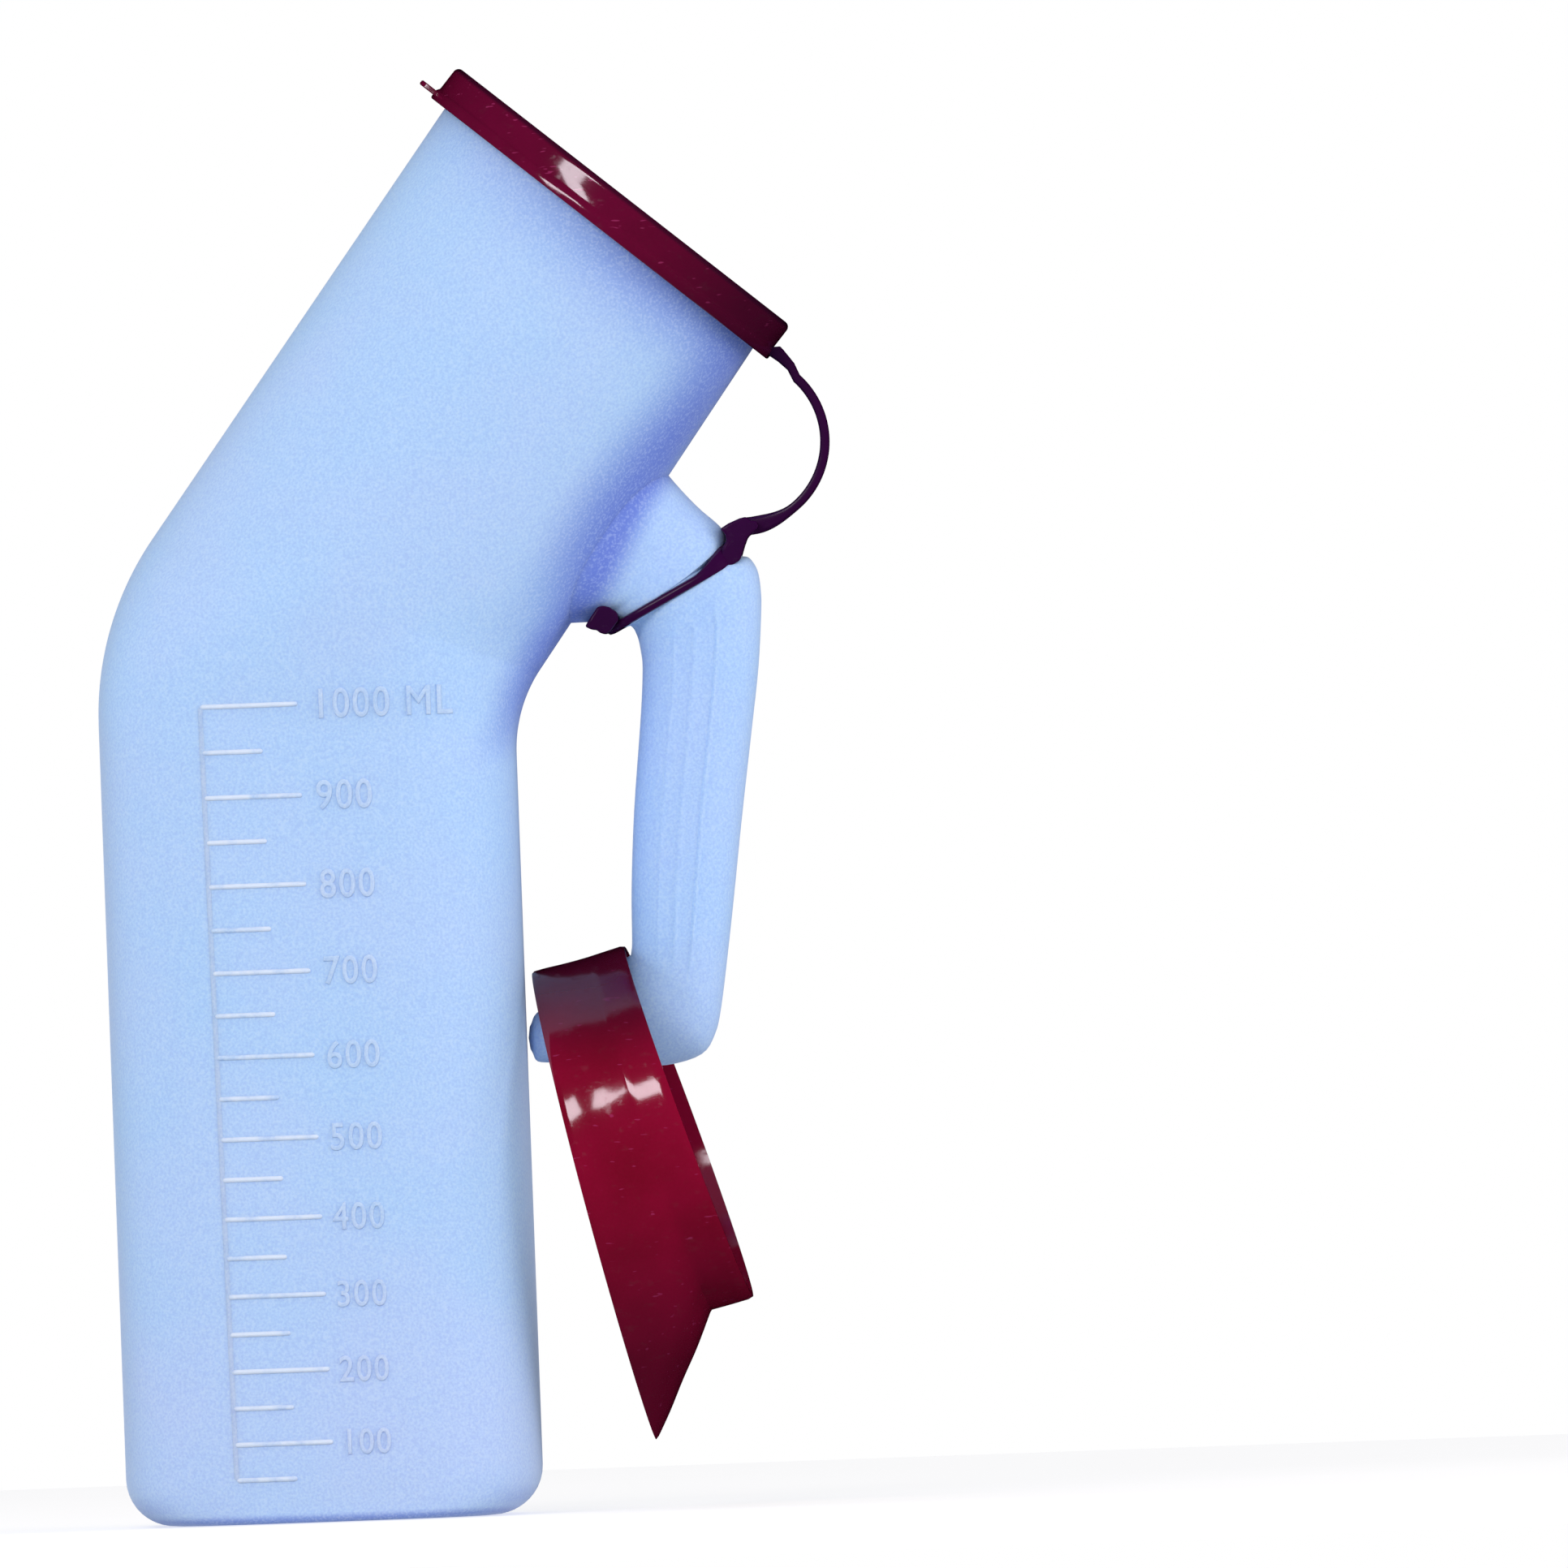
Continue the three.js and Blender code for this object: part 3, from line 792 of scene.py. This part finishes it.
def fill_marks(body):
    """The scale in two pieces: the marks, and the upright line with the numerals."""
    low, high = mark_height(0.5), mark_height(MARKS)
    pieces = []
    for half_steps in range(1, 2 * MARKS + 1):
        height = mark_height(half_steps / 2)
        reach = SHORT_MARK if half_steps % 2 else LONG_MARK
        start = spine_at(height)
        pieces.append(bar(f"mark_{half_steps}", (start, height), (start + reach, height)))
    marks = join("fill_marks", pieces)
    spine = bar("scale_spine", (spine_at(low), low), (spine_at(high), high), SPINE_RELIEF)
    numerals = []
    for hundreds in range(1, MARKS + 1):
        words = "1000 ML" if hundreds == MARKS else f"{hundreds}00"
        numerals.append(numeral(f"numeral_{hundreds}", words, mark_height(hundreds)))
    figures = join("fill_figures", [spine, *numerals])
    for relief in (marks, figures):
        drape(relief, body)
    return marks, figures


# ---- handle ----

# The first key sections make the arm, and the grip starts at the shoulder's
ARM_KEYS = 4
SHOULDER_KEY = 6


def handle_keys():
    """Arm, waist, grip, elbow and free hook, from the neck to the open end."""
    waist = COLLAR_THICKNESS / 2 - 0.1
    return [
        section((61, 185.8), (84.5, 208.3), 12.6, 2.6),
        section(collar_point(1.8, 2.9), (87.9, 205.2), 12.4, 2.6, 0, 0.7),
        section(collar_point(2.2, 2), (89.2, 203.2), 12.3, 2.6, 0, 1.1),
        section(collar_point(2.8, 1.2), (89.3, 201.5), 12.3, 2.6, 0, 1.3),
        section(collar_point(4.2, waist), collar_point(28, waist + 0.8), WAIST_FILL, 2.6),
        section(collar_point(4.2, -waist), collar_point(29, -waist), WAIST_FILL, 2.6),
        section((68.7, 184.8), (92.6, 198.5), 12, 2.6),
        section((69.3, 184.2), (93.9, 198.2), 12.1, 2.6),
        section((69.8, 183.2), (95, 196.9), 12, 2.6),
        section((70.3, 181.6), (95.8, 195), 12, 2.6),
        section((70.7, 179), (96.2, 191.9), 11.8, 2.6),
        section((70.9, 176.4), (96.2, 187.3), 11.6, 2.6),
        section((70.6, 171), (95.2, 175.5), 11.4, 2.6),
        section((69.9, 163.5), (93.4, 163), 11.2, 2.6),
        section((68, 145.8), (90.5, 143.5), 11, 2.6),
        section((66.9, 130), (88.3, 127.5), 11, 2.6),
        section((66.6, 119), (86.6, 115.8), 11, 2.5),
        section((66.4, 116.9), (84.8, 104.5), 10.8, 2.4),
        section((66.3, 116.2), (83.3, 98.8), 10.4, 2.3),
        section((66.1, 115.8), (80.3, 94.6), 10, 2.2),
        section((65, 115.2), (73.1, 92.6), 9.6, 2),
        section((62, 113.9), (64, 92.8), 9.2, 2),
        section((57, 111.6), (57, 93.2), 8.4, 2),
        section((50, 107.2), (50, 93.9), 6.6, 2),
        section((46, 104.4), (46, 94.3), 5, 2),
        section((45, 102.6), (45, 96), 3.2, 2),
    ]


ROOT_SHARES = (0, 0.08, 0.18, 0.3, 0.44, 0.6, 0.8)


def root_sections():
    """The arm's root, which flares softly from the grip's depth into the side of the neck."""
    wall_low, wall_high = flat(56.5, 186.3), flat(77.1, 215.3)
    along = (wall_high - wall_low).normalized()
    first = handle_keys()[0]
    rows = []
    for share in ROOT_SHARES:
        flare = (1 - share) ** 1.7
        spread = along * ROOT_SPREAD * flare
        start = mix(wall_low, first[0], share) - spread
        end = mix(wall_high, first[1], share) + spread
        depth = mix(13, first[2], share) + ROOT_FLARE * flare
        rows.append(section(start, end, depth, 2.5))
    return rows


def seat_root(rings, body):
    """Fits the arm's first rings to the curve of the neck: one buried, one seated, the rest eased."""
    moves = []
    for point in rings[0]:
        _, place, normal, _ = body.closest_point_on_mesh(point)
        moves.append(place - normal * ROOT_DEPTH * MM - point)
    for points, share in zip(rings, (0, *ROOT_SHARES)):
        for point, move in zip(points, moves):
            point += move * (1 - share) ** 2
    for point in rings[1]:
        _, place, normal, _ = body.closest_point_on_mesh(point)
        point[:] = place + normal * SEAT_GAP * MM


def grip_line_angle(share):
    """The angle round the grip at which a line runs, from its place across the grip."""
    return math.acos(signed_power(1 - 2 * share, GRIP_SQUARENESS_POWER))


def grip_angles():
    """Even angles round the handle, with closer ones where the raised grip lines run."""
    angles = even_angles(HANDLE_SIDES)
    for share, _ in GRIP_LINES:
        middle = grip_line_angle(share)
        for offset in (-0.05, -0.022, 0, 0.022, 0.05):
            angles += [middle + offset, ROUND - middle - offset]
    return sorted(set(angles))


def handle(body):
    """Arm, grip and hook in one skin. The root's first section gives two rings, for seat_root."""
    angles = grip_angles()
    keys = handle_keys()
    root = root_sections()
    arm = root[:1] + root + smooth_row(keys[:ARM_KEYS], 3)
    grip = smooth_row(keys[SHOULDER_KEY:], 4)
    rows = arm + keys[ARM_KEYS:SHOULDER_KEY] + grip + hook_end(grip[-1])
    rings = [ring(row, angles) for row in rows]
    seat_root(rings[: len(root) + 1], body)
    grip_start = len(arm) + SHOULDER_KEY - ARM_KEYS
    raise_grip_lines(rings, angles, grip_start + GRIP_LINE_START)
    return loft("grip_handle", rings)


def hook_end(last):
    """The rounded free end of the hook arm."""
    start, end, depth, *rest = last
    middle = (start + end) / 2
    rows = []
    for closing, reach in ((0.3, 0.5), (0.7, 0.8)):
        shift = flat(-reach, 0)
        top, bottom = mix(start, middle, closing) + shift, mix(end, middle, closing) + shift
        rows.append((top, bottom, depth * (1 - closing), *rest))
    return rows


def raise_grip_lines(rings, angles, first):
    """Raises faint lines along the grip, which fade in and out at their ends."""
    last = first + GRIP_LINE_ROWS
    for number in range(first, min(last, len(rings) - 1)):
        fade = ease((number - first) / 4) * ease((last - number) / 5)
        for share, height in GRIP_LINES:
            middle = grip_line_angle(share)
            for point, angle in zip(rings[number], angles):
                gap = min(abs(angle - middle), abs(ROUND - angle - middle))
                if gap < 0.04:
                    outward = -1 if angle > math.pi else 1
                    crest = 1 - (gap / 0.045) ** 2
                    point.y += outward * height * crest * fade * MM


# ---- lid, collar and strap ----

def mouth_spot(u, y, v):
    """A point of the mouth's frame: u across, y sideways and v out of it."""
    place = mouth_point(u, v)
    return Vector((place.x, y, place.y)) * MM


def mouth_ring(radius, height):
    angles = even_angles(LID_SIDES)
    return [mouth_spot(radius * math.cos(a), radius * math.sin(a), height) for a in angles]


def corner(centre, size, first, last, steps=4):
    """Radius and height along a rounded corner."""
    turns = [math.radians(mix(first, last, i / steps)) for i in range(steps + 1)]
    return [(centre[0] + size * math.cos(t), centre[1] + size * math.sin(t)) for t in turns]


def lid_cover():
    """Disc, skirt and sealing lip, turned from one profile of radius and height."""
    under = LID_HEIGHT - LID_WALL
    profile = [(3, LID_HEIGHT), (20, LID_HEIGHT), (36, LID_HEIGHT), (38.2, LID_HEIGHT)]
    profile += corner((SKIRT_OUTER - 1.3, LID_HEIGHT - 1.3), 1.3, 90, 0, 7)
    profile += [(SKIRT_OUTER, 7), (SKIRT_OUTER, 5), (SKIRT_OUTER, 3), (SKIRT_OUTER + 0.06, 2.6)]
    profile += [(SKIRT_OUTER + 0.3, 2.3), (FLANGE_RADIUS, 2), (FLANGE_RADIUS, 1.2)]
    profile += corner((FLANGE_RADIUS - 0.4, 0.4), 0.4, 0, -90, 3)
    profile += [(SKIRT_INNER + 0.3, 0), (SKIRT_INNER, 0.3), (SKIRT_INNER, 2.2)]
    profile += [(SKIRT_INNER, under - 0.8), (SKIRT_INNER - 0.8, under)]
    profile += [(LIP_OUTER + 0.5, under), (LIP_OUTER, under - 0.5), (LIP_OUTER, 4.2)]
    profile += [(LIP_OUTER - 0.3, 3.6), (LIP_INNER + 0.3, 3.6), (LIP_INNER, 4)]
    profile += [(LIP_INNER, under - 0.5), (LIP_INNER - 0.5, under), (20, under), (3, under)]
    return loft("lid_cover", [mouth_ring(*stop) for stop in profile])


def pull_tab():
    """A flat tab on the skirt's lower edge, with rounded outer corners."""
    root = FLANGE_RADIUS - 1
    tip = TAB_REACH - TAB_CORNER[0]
    side = TAB_HALF_WIDTH - TAB_CORNER[1]
    outline = []
    for turn in map(math.radians, (-11, -6, 0, 6, 11)):
        outline.append((-root * math.cos(turn), root * math.sin(turn)))
    for half, angles in ((1, range(90, -1, -18)), (-1, range(0, 91, 18))):
        for turn in map(math.radians, angles):
            out, aside = TAB_CORNER[0] * math.cos(turn), TAB_CORNER[1] * math.sin(turn)
            outline.append((-tip - out, half * (side + aside)))
    rings = []
    for inset, height in ((0.25, 0.8), (0, 1.05), (0, 1.65), (0.25, 1.9)):
        narrow = 1 - inset / TAB_HALF_WIDTH
        rings.append([mouth_spot(u + inset * (u < 1 - tip), y * narrow, height) for u, y in outline])
    return loft("pull_tab", rings, ends="filled")


def collar_band():
    """The loop round the handle's waist. Its upper edge rises towards the strap."""
    length = (flat(*COLLAR_RIGHT) - flat(*COLLAR_LEFT)).length
    hole = WAIST_HALF_DEPTH + COLLAR_SLACK
    outer = (0.6, length - 0.2, hole + COLLAR_BAND, 3.2)
    inner = (3.4, 29.8, hole, 2.8)
    half = COLLAR_THICKNESS / 2
    stations = [(0.4, -1), (0.12, -0.8), (0.02, -0.35), (0.02, 0.35), (0.12, 0.8)]
    stations += [(0.4, 1), (0.86, 1), (1, 0.7), (1, -0.7), (0.86, -1)]
    rings = []
    up = collar_point(0, 1) - collar_point(0, 0)
    run = flat(up.y, -up.x)
    for share, above in stations:
        left, right, depth, squareness = (mix(a, b, share) for a, b in zip(outer, inner))
        ends = collar_point(left, above * half), collar_point(right, above * half)
        points = ring(section(*ends, depth, squareness), even_angles(LID_SIDES))
        if above > 0:
            for point in points:
                along = (flat(point.x, point.z) / MM - flat(*COLLAR_LEFT)).dot(run)
                rise = COLLAR_RISE * ease((along - 22) / 10) * above
                point += Vector((up.x, 0, up.y)) * rise * MM
        rings.append(points)
    return loft("collar_band", rings, ends="looped")


def collar_blocks():
    """The thick heel at the collar's left end, and the root of the strap at its right end."""
    left = [(59.3, 184.9), (60.4, 186.6), (62, 188.9), (63.2, 189.2), (64.6, 188.8), (66.2, 187.6)]
    left += [(66.4, 186), (64.6, 183.8), (63.6, 183.2), (62.4, 183.4), (61.8, 184.1), (60.5, 184.3)]
    right = [collar_point(28.6, 1.2), collar_point(29.6, -1), collar_point(32.3, -1)]
    right += [(93.2, 200.6), (93.9, 202.4), (95.4, 203.6), (96.4, 204.4), (95.9, 205.8)]
    right += [(94.5, 205.8), (93.9, 206.7), (92.4, 206.4), (90, 205.4), (88.2, 204.3)]
    right += [(89.3, 203.2), (89.5, 201.8), (88.8, 200.6)]
    return [
        slab("collar_heel", [flat(*place) for place in left], COLLAR_WIDTH, 0.5),
        slab("collar_root", [flat(*place) for place in right], ROOT_WIDTH, 0.5),
    ]


def bar_ring(outer, inner):
    """A flat bar's section with rounded edges, between its outer and inner face."""
    centre, proud_reach = (outer + inner) / 2, (outer - inner) / 2
    points = []
    for turn in even_angles(STRAP_SIDES):
        across = signed_power(math.cos(turn), 0.35) * STRAP_WIDTH / 2
        place = centre + proud_reach * signed_power(math.sin(turn), 0.5)
        points.append(Vector((place.x, across, place.y)) * MM)
    return points


def strap_ring(angle):
    """The strap's section at an angle of its arc. It thickens towards the collar."""
    out = flat(math.cos(angle), math.sin(angle))
    root = ease((STRAP_ROOT_ANGLE - angle) / STRAP_ROOT_SPAN)
    half = mix(STRAP_THICKNESS, STRAP_ROOT_THICKNESS, root) / 2
    centre = flat(*STRAP_CENTRE)
    return bar_ring(centre + out * (STRAP_RADIUS + half), centre + out * (STRAP_RADIUS - half))


def strap_piece(name, first, last, end_bars):
    """A length of the strap between two angles of its arc, and then on through any end bars."""
    steps = max(6, round(abs(last - first) / STRAP_STEP))
    rings = [strap_ring(mix(first, last, i / steps)) for i in range(steps + 1)]
    rings += [bar_ring(flat(*outer), flat(*inner)) for outer, inner in end_bars]
    return loft(name, rings, ends="filled")


def joint_named(name):
    return next(joint for joint in frame["joints"] if joint["name"] == name)


# ---- adapter ----

def adapter_rows(inset):
    collar = [
        section((64.9, 118), (89.3, 43.2), 39.3),
        section((61.4, 117), (85.1, 42.1), 39.25),
        section((57.9, 116), (80.5, 41), 39.25),
    ]
    hood = [
        section((57.6, 115.9), (80.1, 40.4), 39.2),
        section((54.4, 115.1), (77.1, 33.2), 39.4, 2, 0.03, 0.1),
        section((51.2, 114.4), (73.9, 26.6), 39.7, 2, 0.07, 0.2),
        section((48.2, 113.8), (70.9, 19.9), 40, 2, 0.12, 0.3),
        section((45.4, 113.1), (67.9, 14), 40.4, 2, 0.16, 0.4),
    ]
    rows = smooth_row(collar, 3) + smooth_row(hood, 4)
    return [shrunk(row, inset) for row in rows]


def adapter_shell():
    """An open tube, its plug collar and hood in one wall, turned as it hangs on the hook."""
    angles = even_angles(BODY_SIDES)
    outside, inside = adapter_rows(0), adapter_rows(ADAPTER_WALL)
    outside[0] = shrunk(outside[0], 0.3)
    outside[-1] = shrunk(outside[-1], 0.3)
    rings = [ring(row, angles) for row in outside + inside[::-1]]
    piece = loft("adapter_shell", rings, ends="looped")
    pivot = Vector((SWING_PIVOT[0], 0, SWING_PIVOT[1])) * MM
    axis = joint_named("adapter_swing")["axis"]
    yaw = math.atan2(axis[1], axis[0])
    turn = Matrix.Translation(pivot) @ Matrix.Rotation(yaw, 4, "Z") @ Matrix.Translation(-pivot)
    piece.data.transform(turn)
    return piece


# ---- assembly ----

def build():
    """Makes every piece. The body gets its ride last, after the scale and handle are fitted to it."""
    blue = milky_plastic("milky_blue_plastic")
    crimson = crimson_plastic("adapter_crimson_plastic", *ADAPTER_CRIMSON, adapter_shade)
    lid_shaded_crimson = crimson_plastic("lid_shaded_crimson_plastic", *LID_SHADED_CRIMSON, lid_shade)
    plum = crimson_plastic("strap_plum_plastic", *STRAP_PLUM, gloss=0.12, roughness=0.22)
    body = finish(bottle_body(), None, "milky_blue", blue, ["bottle_shell", "bottle_floor"])
    marks, figures = fill_marks(body)
    # The fill marks and, more faintly, the spine and numerals get a painted highlight
    highlit_mark_blue = milky_plastic("highlit_mark_blue_plastic", painted_highlight=0.85)
    finish(marks, "bottle", "milky_blue", highlit_mark_blue, ["graduation_scale"])
    figure_blue = milky_plastic("figure_blue_plastic", painted_highlight=0.2)
    finish(figures, "bottle", "milky_blue", figure_blue, [])
    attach(body, "bottle")
    finish(handle(body), "bottle", "milky_blue", blue, ["handle"])
    collar = join("tether_collar", [collar_band(), *collar_blocks()])
    finish(collar, "bottle", "crimson", plum, ["strap_collar", "strap_collar_end"])
    finish(lid_cover(), "lid", "crimson", lid_shaded_crimson, ["lid_cap", "lid_seal_lip"])
    finish(pull_tab(), "lid", "crimson", lid_shaded_crimson, ["lid_pull_tab"])
    finish(adapter_shell(), "adapter", "crimson", crimson, ["adapter_collar", "adapter_hood"])
    low, high = STRAP_SPLITS
    bends = [
        ("strap_low_bend", STRAP_START, low, (), "strap_bend_low", "strap_link_lower"),
        ("strap_middle_bend", low, high, (), "strap_bend_middle", "strap_link_upper"),
        ("strap_top_bend", high, STRAP_END, STRAP_LID_END, "lid_opening", "strap_lid_end"),
    ]
    for name, first, last, end_bars, joint_name, node in bends:
        piece = strap_piece(name, first, last, end_bars)
        finish(piece, None, "crimson", plum, [node])
        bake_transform(piece)


# ---- studio ----

AIM = Vector((0.0996, 0, 0.1505))
LIT_CENTRE = Vector((0.065, 0, 0.15))
LIGHT_TINT = (1, 0.93, 1)
DAYLIGHT = (0.84, 0.9, 1, 1)
DAYLIGHT_STRENGTH = 0.68
CAMERA_DISTANCE = 12
CAMERA_AZIMUTH = math.radians(0.65)
CAMERA_LOOK_UP = math.radians(0.11)
CAMERA_ROLL = math.radians(2.1)
VIEW_WIDTH = 0.3284
SENSOR = 36
FLOOR_RADIUS = 0.9
FLOOR_MIDDLE = (0.04, 0, -0.0002)  # just below the base, so that the two don't coincide


def direction(azimuth, elevation):
    """Outwards from the bottle. Azimuth 0 is in front of it, and 90 degrees is on its handle side."""
    level = math.cos(elevation)
    return Vector((math.sin(azimuth) * level, -math.cos(azimuth) * level, math.sin(elevation)))


def camera():
    data = bpy.data.cameras.new("studio_camera")
    data.sensor_width = SENSOR
    data.lens = SENSOR * CAMERA_DISTANCE / VIEW_WIDTH
    data.clip_end = 100
    thing = bpy.data.objects.new("studio_camera", data)
    bpy.context.scene.collection.objects.link(thing)
    place = AIM + direction(CAMERA_AZIMUTH, -CAMERA_LOOK_UP) * CAMERA_DISTANCE
    upright = (AIM - place).to_track_quat("-Z", "Y").to_matrix().to_4x4()
    thing.matrix_world = Matrix.Translation(place) @ upright @ Matrix.Rotation(-CAMERA_ROLL, 4, "Z")
    bpy.context.scene.camera = thing


def softbox(name, azimuth, elevation, distance, size, power, in_gloss=True):
    """A rectangular light aimed at the bottle, with its angles in degrees."""
    data = bpy.data.lights.new(name, "AREA")
    data.color = LIGHT_TINT
    data.shape = "RECTANGLE"
    data.size, data.size_y = size
    data.energy = power
    thing = bpy.data.objects.new(name, data)
    bpy.context.scene.collection.objects.link(thing)
    away = direction(math.radians(azimuth), math.radians(elevation))
    place = LIT_CENTRE + away * distance
    thing.location = place
    thing.rotation_euler = (LIT_CENTRE - place).to_track_quat("-Z", "Y").to_euler()
    thing.visible_glossy = in_gloss
    thing.visible_camera = False


def world():
    """Even daylight: white to look at, and a softer, cooler light on the object."""
    scene_world = bpy.data.worlds.new("studio")
    scene_world.use_nodes = True
    bpy.context.scene.world = scene_world
    tree = scene_world.node_tree
    tree.nodes.clear()
    seen = tree.nodes.new("ShaderNodeBackground")
    seen.inputs["Color"].default_value = (1, 1, 1, 1)
    given = tree.nodes.new("ShaderNodeBackground")
    given.inputs["Color"].default_value = DAYLIGHT
    given.inputs["Strength"].default_value = DAYLIGHT_STRENGTH
    path = tree.nodes.new("ShaderNodeLightPath")
    either = tree.nodes.new("ShaderNodeMixShader")
    output = tree.nodes.new("ShaderNodeOutputWorld")
    tree.links.new(path.outputs["Is Camera Ray"], either.inputs[0])
    tree.links.new(given.outputs[0], either.inputs[1])
    tree.links.new(seen.outputs[0], either.inputs[2])
    tree.links.new(either.outputs[0], output.inputs["Surface"])
    scene_world.cycles_visibility.glossy = False


def studio():
    """Floor, lights and world. Only the key light shows in the gloss."""
    bpy.ops.object.select_all(action="DESELECT")
    bpy.ops.mesh.primitive_circle_add(
        vertices=96, radius=FLOOR_RADIUS, fill_type="NGON", location=FLOOR_MIDDLE
    )
    floor = bpy.context.object
    floor.name = "studio_floor"
    floor.data.materials.append(floor_paint())
    floor.visible_glossy = floor.visible_diffuse = False
    softbox("key_softbox", -19.5, 22.5, 1.65, (0.85, 0.26), 10)
    softbox("right_fill", 76, 12, 2, (1.4, 1.4), 16, in_gloss=False)
    softbox("left_fill", -85, 5, 2, (1.2, 1.2), 3, in_gloss=False)
    world()
    bpy.context.scene.view_settings.view_transform = "Standard"


camera()
build()
studio()
